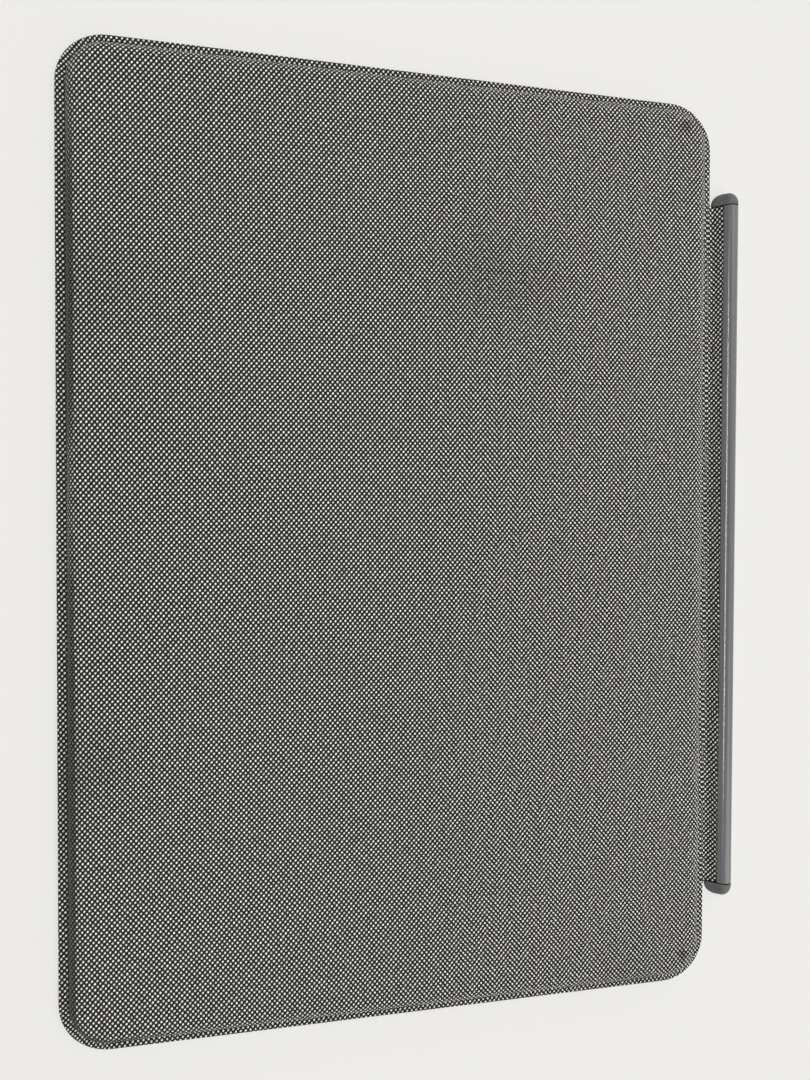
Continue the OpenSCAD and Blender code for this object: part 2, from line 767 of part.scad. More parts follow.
module hinge_fabric() {
    color("#6f6d6a") at_hinge() {
        along_bar(2 * flap_half) polygon(flap_section);
        for (side = [0, 1])
            mirror([side, 0, 0]) translate([flap_half - eps, 0, rim_z]) linear_extrude(back_skin_t)
                difference() {
                    square([flap_fillet, flap_fillet]);
                    translate([flap_fillet, flap_fillet]) circle(flap_fillet, $fn = 32);
                }
    }
}

module hinge_lining() {
    top = rim_z - glue;
    free_end = hinge_gap - fit;
    color("#4b4a49") at_hinge() difference() {
        along_bar(2 * flap_half)
            polygon([[0, 0], [lining_end, 0], [lining_end, core_z], [free_end, core_z], [free_end, top], [0, top]]);
        translate([-(ribbon_w + slot_clear) / 2, -eps, core_z + eps]) cube([ribbon_w + slot_clear, hinge_gap, core_t]);
    }
}

module hinge_flex() {
    color("#b5722d") at_hinge() translate([-ribbon_w / 2, 0, flex_z]) cube([ribbon_w, strip_u - fit, ribbon_t]);
}

// ---- connector bar
module bar_outline() {
    polygon([
        [tip_u, tip_low], [lip_u, tip_low], [lip_u, 0], [bar_out - bar_foot_r, 0],
        [bar_out - bar_foot_r, bar_foot_r], [bar_out, bar_foot_r], [bar_out, bar_r], bar_c,
        bar_c + bar_r * slope_n, skin_end, seat_end, seat_start, tip_c]);
    translate(tip_c) circle(tip_r, $fn = 32);
    translate(bar_c) circle(bar_r, $fn = 96);
    translate([bar_out - bar_foot_r, bar_foot_r]) circle(bar_foot_r, $fn = 48);
}

module bar_shell() {
    color("#7a7c7c") at_hinge() difference() {
        along_bar(tube_l) difference() {
            bar_outline();
            polygon([seat_near, seat_end, seat_end + bar_r * slope_n, seat_near + bar_r * slope_n]);
            translate([strip_u, -eps]) square([strip_w, pin_base_z + eps]);
            translate([cavity_u, 0]) square([cavity_w, cavity_top]);
        }
        translate([-(ribbon_w + slot_clear) / 2, 0, tip_low - eps])
            cube([ribbon_w + slot_clear, strip_u + eps, ribbon_t + 2 * fit]);
    }
}

module at_pin(n) {
    translate([n * contact_pitch, pin_u, 0]) children();
}

module contact_strip() {
    slack = fit / 2;
    color("#5f6162") at_hinge() difference() {
        translate([-tube_l / 2, strip_u + slack, strip_recess]) cube([tube_l, strip_w - 2 * slack, strip_t]);
        for (n = [-1, 0, 1]) at_pin(n) cylinder(r = contact_r + slack, h = bar_h, $fn = 32);
    }
}

module cap_outline() {
    translate(tip_c) circle(tip_r + back_skin_t, $fn = 32);
    translate(bar_c) circle(bar_r, $fn = 48);
    translate([bar_out - bar_foot_r, bar_foot_r]) circle(bar_foot_r, $fn = 32);
    translate([lip_u, 0]) square(bar_foot_r);
}

// Half of a ball of radius r, drawn out to height h along X.
module half_ball(r, h) {
    rotate([0, 90, 0]) scale([1, 1, h / r]) rotate_extrude($fn = 32) intersection() {
        circle(r, $fn = 32);
        square(r);
    }
}

module end_cap() {
    end_r = bar_r - cap_ease;
    translate([tube_l / 2 + seam, 0, 0]) {
        hull() {
            rotate([90, 0, 90]) linear_extrude(cap_slab) cap_outline();
            translate([cap_slab, bar_out - end_r - cap_ease, bar_r]) half_ball(end_r, cap_l - seam - cap_slab);
            translate([cap_slab, tip_u, tip_z]) half_ball(tip_r, tip_x);
        }
        translate([-plug_l, cavity_u + plug_clear, pin_base_z + plug_clear])
            cube([plug_l + eps, cavity_w - 2 * plug_clear, cavity_top - pin_base_z - 2 * plug_clear]);
    }
}

module end_cap_right() {
    color("#747676") at_hinge() end_cap();
}

module end_cap_left() {
    color("#747676") at_hinge() mirror([1, 0, 0]) end_cap();
}

module bar_magnets() {
    low = pin_base_z + plug_clear;
    color("#b4b7b9") at_hinge() for (side = [-1, 1], n = [0 : magnets_a_side - 1])
        translate([side * (first_magnet + magnet_l / 2 + n * (magnet_l + magnet_gap)), pin_u, (low + cavity_top - plug_clear) / 2])
            cube([magnet_l, cavity_w - 2 * plug_clear, cavity_top - plug_clear - low], center = true);
}

module pin_block() {
    color("#2a2b2d") at_hinge() difference() {
        translate([-block_l / 2, cavity_u + plug_clear, pin_base_z])
            cube([block_l, cavity_w - 2 * plug_clear, block_top - pin_base_z]);
        for (n = [-1, 0, 1]) at_pin(n) {
            cylinder(r = shoulder_bore_r, h = shoulder_top + pin_stroke + plug_clear, $fn = 32);
            cylinder(r = bore_r, h = pin_top + pin_stroke + plug_clear, $fn = 32);
        }
    }
}

module contact_pin(n) {
    tip = strip_recess - contact_proud;
    round_c = [contact_r - pin_round, tip + pin_round];
    color("#d9b65c") at_hinge() at_pin(n) rotate_extrude($fn = 32) union() {
        translate([0, round_c[1]]) square([contact_r, pin_top - round_c[1]]);
        translate([0, tip]) square([round_c[0], 2 * pin_round]);
        translate([0, shoulder_top - pin_shoulder_t]) square([pin_shoulder_r, pin_shoulder_t]);
        intersection() {
            translate(round_c) circle(pin_round, $fn = 24);
            square(bar_h);
        }
    }
}

back_fabric();
back_tray();
front_fabric();
deck_frame();
key_bezel();
scissor_links();
rubber_domes();
membrane();
switch_plate();
light_guide();
main_board();
board_flex();
latch_magnets();
trackpad_bracket();
trackpad_switch();
hinge_fabric();
hinge_lining();
hinge_flex();
trackpad_surface();
trackpad_board();
bar_shell();
contact_strip();
end_cap_left();
end_cap_right();
bar_magnets();
pin_block();
contact_pin(-1);  // contact_pin_1
contact_pin(0);  // contact_pin_2
contact_pin(1);  // contact_pin_3
key_group("function_keys");  // function_keys
key_group("number_keys");  // number_keys
key_group("side_keys");  // side_keys
key_group("bottom_keys");  // bottom_keys
key_group("key_space");  // key_space
for (c = letters)
    key_group(str("key_", c));
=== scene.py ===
import json
import math

import bmesh
import bpy
import numpy as np
from mathutils import Matrix, Vector
from mathutils.geometry import interpolate_bezier

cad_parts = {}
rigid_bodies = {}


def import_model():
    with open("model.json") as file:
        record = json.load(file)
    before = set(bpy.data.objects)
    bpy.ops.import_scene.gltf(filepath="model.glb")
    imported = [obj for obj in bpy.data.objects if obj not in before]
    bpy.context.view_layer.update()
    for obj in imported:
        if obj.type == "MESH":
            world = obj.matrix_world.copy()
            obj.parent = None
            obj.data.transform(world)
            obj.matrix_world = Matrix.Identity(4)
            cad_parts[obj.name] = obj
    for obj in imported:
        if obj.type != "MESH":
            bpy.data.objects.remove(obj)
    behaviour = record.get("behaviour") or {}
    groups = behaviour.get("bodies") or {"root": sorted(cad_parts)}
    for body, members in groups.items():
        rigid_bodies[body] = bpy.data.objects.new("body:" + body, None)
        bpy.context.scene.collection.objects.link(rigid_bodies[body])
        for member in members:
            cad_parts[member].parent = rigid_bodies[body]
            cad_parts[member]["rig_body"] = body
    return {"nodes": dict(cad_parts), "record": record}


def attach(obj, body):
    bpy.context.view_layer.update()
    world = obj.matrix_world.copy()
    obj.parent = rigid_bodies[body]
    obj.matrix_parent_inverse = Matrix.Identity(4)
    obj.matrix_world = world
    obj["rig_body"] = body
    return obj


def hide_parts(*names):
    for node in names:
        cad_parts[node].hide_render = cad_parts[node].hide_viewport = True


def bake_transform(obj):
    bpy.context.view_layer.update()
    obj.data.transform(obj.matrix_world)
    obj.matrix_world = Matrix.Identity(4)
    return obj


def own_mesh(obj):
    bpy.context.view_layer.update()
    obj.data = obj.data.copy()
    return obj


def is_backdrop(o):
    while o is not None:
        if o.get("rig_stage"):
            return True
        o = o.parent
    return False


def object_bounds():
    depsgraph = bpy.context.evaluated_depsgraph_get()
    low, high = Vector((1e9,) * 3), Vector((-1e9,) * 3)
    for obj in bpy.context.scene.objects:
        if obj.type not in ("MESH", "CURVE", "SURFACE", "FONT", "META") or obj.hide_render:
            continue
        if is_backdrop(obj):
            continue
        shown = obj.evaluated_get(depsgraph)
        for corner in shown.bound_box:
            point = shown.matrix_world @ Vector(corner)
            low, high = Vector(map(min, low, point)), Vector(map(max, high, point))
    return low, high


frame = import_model()
nodes = frame["nodes"]
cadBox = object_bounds()
mm = 0.001
print("frame loaded,", len(nodes), "nodes")


# shader tools
class Signal:  # an output socket that can stand in ordinary sums
    def __init__(self, finish, socket):
        self.finish, self.socket = finish, socket

    def __add__(self, other):
        return self.finish.sum("ADD", self, other)

    def __radd__(self, other):
        return self.finish.sum("ADD", other, self)

    def __sub__(self, other):
        return self.finish.sum("SUBTRACT", self, other)

    def __rsub__(self, other):
        return self.finish.sum("SUBTRACT", other, self)

    def __mul__(self, other):
        return self.finish.sum("MULTIPLY", self, other)

    def __rmul__(self, other):
        return self.finish.sum("MULTIPLY", other, self)

    def __abs__(self):
        return self.finish.sum("ABSOLUTE", self)


class Nodes:  # a node tree, and the few ways its nodes are made
    def __init__(self, tree):
        self.tree = tree

    def put(self, socket, value):
        if isinstance(value, Signal):
            self.tree.links.new(value.socket, socket)
        else:
            socket.default_value = value

    def node(self, kind, settings=(), inputs=()):
        made = self.tree.nodes.new(kind)
        for name, value in dict(settings).items():
            setattr(made, name, value)
        for name, value in dict(inputs).items():
            self.put(made.inputs[name], value)
        return made

    def take(self, kind, output, settings=(), inputs=()):  # one output of a new node
        return Signal(self, self.node(kind, settings, inputs).outputs[output])

    def sum(self, operation, *values):
        return self.take("ShaderNodeMath", 0, {"operation": operation}, enumerate(values))

    def blend(self, amount, first, second, kind="MIX"):  # of two colours
        settings = {"data_type": "RGBA", "blend_type": kind}
        return self.take("ShaderNodeMix", 2, settings, {0: amount, 6: first, 7: second})

    def mix(self, amount, first, second):  # of two surfaces
        return self.take("ShaderNodeMixShader", 0, {}, {0: amount, 1: first, 2: second})

    def ease(self, value, low, high, first=0, second=1):
        inputs = {0: value, 1: low, 2: high, 3: first, 4: second}
        return self.take("ShaderNodeMapRange", 0, {"interpolation_type": "SMOOTHSTEP"}, inputs)

    def vector(self, operation, first, second=None, **inputs):
        inputs = {0: first, **({} if second is None else {1: second}), **inputs}
        output = "Value" if operation in ("DISTANCE", "LENGTH") else "Vector"
        return self.take("ShaderNodeVectorMath", output, {"operation": operation}, inputs)

    def split(self, value):  # x, y and z
        made = self.node("ShaderNodeSeparateXYZ", {}, {0: value})
        return [Signal(self, made.outputs[k]) for k in range(3)]

    def place(self):  # millimetres on the piece
        return self.vector("SCALE", self.take("ShaderNodeTexCoord", "Object"), Scale=1000)

    def noise(self, where, scale, detail=2, output="Fac"):
        inputs = {"Vector": where, "Scale": scale, "Detail": detail}
        return self.take("ShaderNodeTexNoise", output, {}, inputs)

    def bump(self, height, distance, strength=1.0):
        inputs = {"Height": height, "Distance": distance * mm, "Strength": strength}
        return self.take("ShaderNodeBump", "Normal", {}, inputs)


class Finish(Nodes):  # one material
    def __init__(self, name, **fixed):
        self.material = bpy.data.materials.new(name)
        self.material.use_nodes = True
        super().__init__(self.material.node_tree)
        self.surface = self.tree.nodes["Principled BSDF"]
        self.fix(**fixed)

    def fix(self, **fixed):  # socket names with underscores for their spaces
        for name, value in fixed.items():
            self.put(self.surface.inputs[name.replace("_", " ")], value)


def tone(red, green, blue):  # screen values from 0 to 255 as a linear colour
    values = [v / 255 for v in (red, green, blue)]
    return (*[v / 12.92 if v < 0.04 else ((v + 0.055) / 1.055) ** 2.4 for v in values], 1)


def scaled(shade, share):  # a lighter or darker tone of a colour
    return (*[v * share for v in shade[:3]], 1)


# mesh tools
def meshPiece(name, bm, finishes, smooth=True, sharp=35, closed=True):
    if closed:
        bmesh.ops.recalc_face_normals(bm, faces=bm.faces)
    for face in bm.faces:
        face.smooth = smooth
    for edge in bm.edges:
        if len(edge.link_faces) == 2 and edge.calc_face_angle(0) > math.radians(sharp):
            edge.smooth = False
    data = bpy.data.meshes.new(name)
    bm.to_mesh(data)
    bm.free()
    piece = bpy.data.objects.new(name, data)
    bpy.context.scene.collection.objects.link(piece)
    for finish in finishes:
        data.materials.append(finish.material)
    return piece


def roundedLoop(length, depth, radius, centre=(0, 0), steps=10):
    points = []
    for n, (sx, sy) in enumerate([(1, 1), (-1, 1), (-1, -1), (1, -1)]):
        for k in range(steps + 1):
            a = math.radians(90 * (n + k / steps))
            points.append(
                (
                    centre[0] + sx * (length / 2 - radius) + radius * math.cos(a),
                    centre[1] + sy * (depth / 2 - radius) + radius * math.sin(a),
                )
            )
    return points


def addRing(bm, points, z):
    return [bm.verts.new((x * mm, y * mm, z * mm)) for x, y in points]


def joinRings(bm, first, second, material=0):
    count = len(first)
    for i in range(count):
        face = bm.faces.new((first[i], first[(i + 1) % count], second[(i + 1) % count], second[i]))
        face.material_index = material


def joinAll(bm, rings):
    for first, second in zip(rings, rings[1:]):
        joinRings(bm, first, second)


def sweep(bm, outline, xs):  # an outline of (y, z) points, carried along x
    rings = [[bm.verts.new((x * mm, y * mm, z * mm)) for y, z in outline] for x in xs]
    joinAll(bm, rings)
    return rings


def lengthsAlong(points):  # distance from the first point to each
    run = [0.0]
    for first, second in zip(points, points[1:]):
        run.append(run[-1] + math.dist(first, second))
    return run


def bentCorner(first, corner, last, steps):  # a soft curve instead of a sharp corner
    shares = [k / steps for k in range(steps + 1)]
    return [tuple((1 - t) ** 2 * first + 2 * t * (1 - t) * corner + t * t * last) for t in shares]


def arc(centre, radius, start, end, steps):
    angles = [math.radians(start + (end - start) * k / steps) for k in range(steps + 1)]
    return [(centre[0] + radius * math.cos(a), centre[1] + radius * math.sin(a)) for a in angles]


def roundCorners(points, radius, steps=3):  # softens each corner of a closed outline
    made = []
    for i, here in enumerate(points):
        here = Vector(here)
        before, after = Vector(points[i - 1]) - here, Vector(points[(i + 1) % len(points)]) - here
        reach = min(radius, before.length * 0.45, after.length * 0.45)
        if before.angle(after) > math.radians(170) or reach < 1e-5:
            made.append(tuple(here))
            continue
        first, last = here + before.normalized() * reach, here + after.normalized() * reach
        made += bentCorner(first, here, last, steps)
    return made


# cloth, which the back, the front and the flap share
cloth = {
    "yarnAcross": 0.7275,  # mm between yarns along x
    "yarnAlong": 0.6325,
    "skewAcross": 0.030,
    "skewAlong": -0.022,
    "drift": (0.016, 1.1),  # scale of the noise, and how far the rows wander, in mm
    "ribbing": 0.105,  # how strongly the pale yarns join into slanting lines
    "zigzag": 6.2,  # mm between the turns of those lines
    "sway": (0.045, 9),  # scale, and how far the turns wander, in mm
    "change": (0, 40),  # y where plain lines give way to zigzags
    "changeSway": (0.03, 30),
    "uneven": (0.85, 0.6),  # scale, and how much the yarns differ in width
    "cover": (0.21, 0.59),  # from a dark yarn on top to a pale one
    "light": tone(234, 232, 227),
    "lightSpread": (0.78, 1.2),  # shares of that tone, from yarn to yarn
    "dark": tone(18, 17, 17),
    "darkSpread": 1.8,  # the palest of the dark yarns, as a share of that tone
    "dimmedAndShaded": 0.75,  # share of the pale yarns taken away at the dull outer edge and by the painted shade
    "stain": tone(112, 104, 62),
    "stainRagged": 2.4,  # how far the edge of a stain wanders, in mm
    "stainDepth": 0.5,
    "relief": 0.16,
}


def wovenCloth(name, lightness=1.0, stains=()):
    finish = Finish(name, Specular_IOR_Level=0.25, Sheen_Weight=0.12, Sheen_Roughness=0.5)
    at = finish.take("ShaderNodeAttribute", "Vector", {"attribute_name": "weaveAt"})
    scale, reach = cloth["drift"]
    wander = finish.vector("SUBTRACT", finish.noise(at, scale, 1, "Color"), (0.5, 0.5, 0.5))
    laid = finish.vector("ADD", at, finish.vector("SCALE", wander, Scale=2 * reach))
    x, y, dullAndShaded = finish.split(laid)
    across = (x + y * cloth["skewAcross"]) * (math.pi / cloth["yarnAcross"])
    along = (y + x * cloth["skewAlong"]) * (math.pi / cloth["yarnAlong"])
    over = finish.sum("SINE", across) * finish.sum("SINE", along)  # above 0 under a pale yarn
    scale, reach = cloth["sway"]
    swaying = y + finish.noise(at, scale, 2) * reach
    turns = finish.sum("SINE", swaying * (2 * math.pi / cloth["zigzag"]))
    scale, reach = cloth["changeSway"]
    turning = finish.ease(y + finish.noise(at, scale, 1) * reach, *cloth["change"])
    slant = turning * finish.ease(turns, -0.35, 0.35, 0, 2) - 1
    slant = slant * (turning * 0.3 + 0.7) * cloth["ribbing"]
    joined = finish.sum("COSINE", across - along) + finish.sum("COSINE", across + along)
    scale, reach = cloth["uneven"]
    uneven = (finish.noise(at, scale, 2) - 0.5) * reach
    mask = finish.ease(over + joined * slant + uneven, *cloth["cover"])
    lights = [scaled(cloth["light"], share * lightness) for share in cloth["lightSpread"]]
    pale = finish.blend(finish.ease(finish.noise(at, 1.3, 1), 0.3, 0.7), *lights)
    darkest, dark = cloth["dark"], scaled(cloth["dark"], cloth["darkSpread"])
    deep = finish.blend(finish.noise(at, 0.05, 3), darkest, dark)
    # the dull outer edge and the painted shade take pale yarns away
    shade = finish.blend(mask * (1 - finish.ease(dullAndShaded, 0.3, 1.0) * cloth["dimmedAndShaded"]), deep, pale)
    for spotX, spotY, radius in stains:
        away = finish.vector("DISTANCE", at, (spotX, spotY, 0))
        away = away + (finish.noise(at, 0.6, 3) - 0.5) * cloth["stainRagged"]
        amount = finish.ease(away, radius, radius * 0.25) * cloth["stainDepth"]
        shade = finish.blend(amount, shade, cloth["stain"], "MULTIPLY")
    finish.fix(
        Base_Color=shade,
        Roughness=finish.ease(mask, 0, 1, 0.92, 0.78),
        Normal=finish.bump(abs(over) + finish.noise(at, 5.0, 2) * 0.3, cloth["relief"], 0.7),
    )
    return finish


def markWeave(piece, weaveAt):  # each point's place in the flat cloth, and how dull it is, at the outer edge and with painted shade
    data = piece.data.attributes.new("weaveAt", "FLOAT_VECTOR", "POINT")
    data.data.foreach_set("vector", np.array(weaveAt, np.float32).ravel())


# the panel and its back cloth, in mm
panel = {
    "length": 252.0,
    "depth": 176.5,
    "middle": -3.975,  # y of its centre
    "edge": 84.275,  # y of the hinge edge
    "corner": 12.5,
    "thick": 5.6,
    "rimTop": 1.4,
    "rimWidth": 2.6,
    "rimRound": 0.32,
    "rimFoot": 0.92,  # where the back cloth begins
    "turnedIn": 0.45,  # how far it reaches under the rim
    "turnRound": 0.08,
    "fillet": 0.55,  # at the foot of the wall
    "lean": 13.0,
    "crownDrop": 2.8,  # how far down and in the edge is rounded
    "crownRun": 3.25,
    "crownPull": 0.65,
    "flatRings": (0.5, 3.0),  # rings on the flat, inward from the crown
    "skin": 0.12,
    "stains": [(-117.5, 77.9, 2.8), (116.4, 79.3, 2.4)],  # x, y and radius
}
edgeAndPaintedShade = {  # painted shade on the long side away from the bar, in the crease and up the wall, where the yarns are darker; and the dull outer edge all round
    "edgeIn": 0.12,  # the outer edge, where hardly a pale yarn shows all round
    "start": -72.0,  # y from the middle
    "fade": 4,
    "creaseIn": 0.35,  # how far the painted shade in the crease reaches over the rim, and up the wall
    "creaseUp": 0.7,
    # shares of painted shade in the crease and on the wall
    "crease": 1,
    "wall": 0.74,
    "top": 0.4,  # how far it stops below the flat
}


def backSection():  # from under the rim to the flat, as (inset, height), and the inset of the flat
    lean, fillet = math.radians(panel["lean"]), panel["fillet"]
    rimTop, foot, curl = panel["rimTop"], panel["rimFoot"], panel["rimRound"]
    top, drop, pull = panel["thick"], panel["crownDrop"], panel["crownPull"]
    wallTop = panel["rimWidth"] + (top - rimTop) * math.tan(lean)
    first, corner = Vector((wallTop - drop * math.tan(lean), top - drop)), Vector((wallTop, top))
    last = Vector((wallTop + panel["crownRun"], top))
    turn = panel["turnRound"]
    points = [(panel["turnedIn"], foot), (turn, foot), (0.0, foot + turn)]
    points += arc((curl, rimTop - curl), curl, 180, 90, 5)
    footIn = panel["rimWidth"] + fillet * ((1 - math.sin(lean)) * math.tan(lean) - math.cos(lean))
    points += arc((footIn, rimTop + fillet), fillet, 270, 360 - panel["lean"], 6)
    handles = [first, first.lerp(corner, pull), last.lerp(corner, pull), last]
    points += [tuple(p) for p in interpolate_bezier(*handles, 17)]
    return points, last[0]


def panelLoop(inset, centre=(0, 0)):
    length, depth = panel["length"] - 2 * inset, panel["depth"] - 2 * inset
    return roundedLoop(length, depth, panel["corner"] - inset, centre, 12)


def edgeDullAndShade(inset, z, outY):  # 1 where hardly a pale yarn shows: at the dull outer edge all round, and as painted shade in the crease and on the wall of the side away from the bar
    if inset < edgeAndPaintedShade["edgeIn"]:
        return 1
    if inset < panel["rimWidth"] - edgeAndPaintedShade["creaseIn"] or z > panel["thick"] - edgeAndPaintedShade["top"]:
        return 0
    share = edgeAndPaintedShade["crease"] if z < panel["rimTop"] + edgeAndPaintedShade["creaseUp"] else edgeAndPaintedShade["wall"]
    return max(0, min(1, (edgeAndPaintedShade["start"] - outY) / edgeAndPaintedShade["fade"])) * share


def buildBackCloth():
    section, crownIn = backSection()
    section += [(crownIn + further, panel["thick"]) for further in panel["flatRings"]]
    run = lengthsAlong(section)
    flatRun = run[-3]
    flatLoop, outLoop = panelLoop(crownIn), panelLoop(0)
    bm, weaveAt, rings = bmesh.new(), [], []
    for (inset, z), length in zip(section, run):
        rings.append(addRing(bm, panelLoop(inset, (0, panel["middle"])), z))
        for (fx, fy), (ox, oy) in zip(flatLoop, outLoop):
            out = (flatRun - length) / math.hypot(ox - fx, oy - fy)
            # the third value holds the dull edge and the painted shade
            weaveAt.append((fx + (ox - fx) * out, fy + (oy - fy) * out, edgeDullAndShade(inset, z, oy)))
    joinAll(bm, rings)
    bm.faces.new(rings[-1])
    piece = meshPiece("backCloth", bm, [wovenCloth("backWeave", stains=panel["stains"])])
    markWeave(piece, weaveAt)
    shell = piece.modifiers.new("thickness", "SOLIDIFY")
    shell.thickness, shell.offset, shell.use_even_offset = panel["skin"] * mm, -1, False
    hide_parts("back_fabric")
    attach(piece, "panel")
    return flatRun - crownIn


clothSpare = buildBackCloth()  # how much longer the cloth is than its plan
print("back cloth done")

# front cloth round the keys and the trackpad
wells = [
    {"size": (235.2, 92.6), "radius": 2.3, "middle": 33.35},  # keys
    {"size": (104.6, 58.6), "radius": 3.3, "middle": -47.55},  # trackpad
]
front = {"roll": 0.22, "thick": 0.48, "lightness": 0.95}


def rolledEdge(bm, size, radius, middle, outward):  # rings from the glued side to the shown side
    roll = front["roll"]
    section = [(0.0, front["thick"]), (0.0, roll)] + arc((roll, roll), roll, 180, 270, 4)[1:]
    rings = []
    for inset, z in section:
        grow = -inset if outward else inset
        loop = roundedLoop(size[0] + 2 * grow, size[1] + 2 * grow, radius + grow, (0, middle), 10)
        rings.append(addRing(bm, loop, z))
    joinAll(bm, rings)
    return rings


def buildFrontCloth():
    bm = bmesh.new()
    middle = panel["middle"]
    sets = [rolledEdge(bm, (panel["length"], panel["depth"]), panel["corner"], middle, True)]
    for well in wells:
        sets.append(rolledEdge(bm, well["size"], well["radius"], middle + well["middle"], False))
    for level in (0, -1):  # the glued side, then the shown side
        edges = []
        for rings in sets:
            ring = rings[level]
            for i, vert in enumerate(ring):
                after = ring[(i + 1) % len(ring)]
                edges.append(bm.edges.get((vert, after)) or bm.edges.new((vert, after)))
        bmesh.ops.triangle_fill(bm, use_beauty=True, edges=edges)
    weaveAt = [(-vert.co.x / mm, vert.co.y / mm - middle, 0) for vert in bm.verts]
    piece = meshPiece("frontCloth", bm, [wovenCloth("frontWeave", front["lightness"])])
    markWeave(piece, weaveAt)
    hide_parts("front_fabric")
    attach(piece, "panel")


buildFrontCloth()
print("front cloth done")

# the bar's own measures, in mm: distances are from the hinge edge, with heights
bar = {
    "tip": (1.5, 0.9),
    "tipRadius": 0.35,
    "middle": (5.5, 2.45),
    "radius": 2.45,
    "slope": 43.1,
    "skinEnd": (3.15, 3.61),
    "seatEnd": (3.49, 3.245),
    "half": 97.6,
    "out": 7.95,
    "foot": 1.0,
    "slot": [(6.9, 0), (6.9, 1), (6.7, 1), (6.7, 3.4), (3.9, 3.4), (3.9, 1), (3.3, 1), (3.3, 0)],
    "slotRound": 0.12,
    "lip": [(2.62, 0.0), (2.53, 0.03), (2.5, 0.12), (2.5, 0.55)],
}

# hinge flap, which bends between the panel and the bar
flap = {
    "half": 97.5,
    "thick": 0.42,
    "start": -0.5,  # where it begins, over the rim
    "lift": 0.004,
    "bend": 0.42,  # length of the soft turn on each side
    "seam": 0.22,  # dark gap left before the bar
    "flare": 1.0,  # radius of the corners where it meets the rim
    "columns": 40,
    "hinge": [(0.05, 0.7), (1.1, 0.7)],  # start and end of the bending part
    "lining": {"end": 2.35, "heights": (0.0, 0.46), "shade": tone(78, 77, 75)},
    "ribbon": {"half": 5.0, "end": 3.2, "heights": (0.62, 0.74), "shade": tone(160, 98, 40)},
}
hingeStart, hingeEnd = [(0, (panel["edge"] + u) * mm, z * mm) for u, z in flap["hinge"]]


def flapLine():  # top of the flap, from the rim to the bar
    slope, high = math.radians(bar["slope"]), bar["skinEnd"]
    rising = Vector((math.cos(slope), math.sin(slope)))
    turn = high[0] - (high[1] - panel["rimTop"]) / math.tan(slope)
    level, bend = panel["rimTop"] + flap["lift"], flap["bend"]
    points = [(flap["start"], level)] + [(0.1 * k, level) for k in range(4)]
    corner = Vector((turn, panel["rimTop"]))
    points += bentCorner(Vector((turn - bend, level)), corner, corner + bend * rising, 8)
    last, end, count = Vector(points[-1]), Vector(high) - flap["seam"] * rising, 8
    return points + [tuple(last.lerp(end, k / count)) for k in range(1, count + 1)]


def buildFlap():
    top = flapLine()
    run = lengthsAlong(top)
    bm, weaveAt, rows = bmesh.new(), [], []
    columns, thick, flare = flap["columns"], flap["thick"], flap["flare"]
    edge, clothStart = panel["edge"], panel["edge"] - panel["middle"] + clothSpare
    for i, (u, z) in enumerate(top):
        before, after = Vector(top[max(i - 1, 0)]), Vector(top[min(i + 1, len(top) - 1)])
        along = (after - before).normalized()
        normal = Vector((-along[1], along[0]))
        half = flap["half"]
        if u < flare:  # the corner flares out to meet the rim
            half += flare - math.sqrt(max(flare**2 - (flare - max(u, 0)) ** 2, 0))
        row = []
        for k in range(columns + 1):
            x = -half + 2 * half * k / columns
            over = (x * mm, (edge + u) * mm, z * mm)
            under = (x * mm, (edge + u - normal[0] * thick) * mm, (z - normal[1] * thick) * mm)
            row.append((bm.verts.new(over), bm.verts.new(under)))
            weaveAt += [(x, clothStart + run[i] + flap["start"], 0)] * 2
        rows.append(row)
    for a, b in zip(rows, rows[1:]):
        for k in range(columns):
            for side in (0, 1):
                bm.faces.new((a[k][side], a[k + 1][side], b[k + 1][side], b[k][side]))
        for k in (0, columns):
            bm.faces.new((a[k][0], a[k][1], b[k][1], b[k][0]))
    for row in (rows[0], rows[-1]):
        for k in range(columns):
            bm.faces.new((row[k][0], row[k + 1][0], row[k + 1][1], row[k][1]))
    piece = meshPiece("flapCloth", bm, [wovenCloth("flapWeave")])
    markWeave(piece, weaveAt)
    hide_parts("hinge_fabric")
    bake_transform(piece)


buildFlap()
print("flap done")


def plainCloth(name, shade):
    finish = Finish(name, Specular_IOR_Level=0.3)
    grain = finish.noise(finish.place(), 3.0, 3)
    finish.fix(
        Base_Color=finish.blend(grain, scaled(shade, 0.7), shade),
        Roughness=finish.ease(grain, 0.2, 0.8, 0.7, 0.9),
        Normal=finish.bump(grain, 0.05, 0.5),
    )
    return finish


def bentStrip(name, node, half, strip, finish, columns):
    bm = bmesh.new()
    low, high = strip["heights"]
    ys = [panel["edge"] + strip["end"] * k / 12 for k in range(13)]
    outline = [(y, low) for y in ys] + [(y, high) for y in reversed(ys)]
    rings = sweep(bm, outline, [-half + 2 * half * k / columns for k in range(columns + 1)])
    bm.faces.new(rings[0])
    bm.faces.new(rings[-1])
    piece = meshPiece(name, bm, [finish])
    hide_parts(node)
    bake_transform(piece)


lining, ribbon = flap["lining"], flap["ribbon"]
liningCloth = plainCloth("liningCloth", lining["shade"])
bentStrip("flapLining", "hinge_lining", flap["half"], lining, liningCloth, 30)
ribbonFilm = plainCloth("ribbonFilm", ribbon["shade"])
bentStrip("flapRibbon", "hinge_flex", ribbon["half"], ribbon, ribbonFilm, 4)
print("lining and ribbon done")


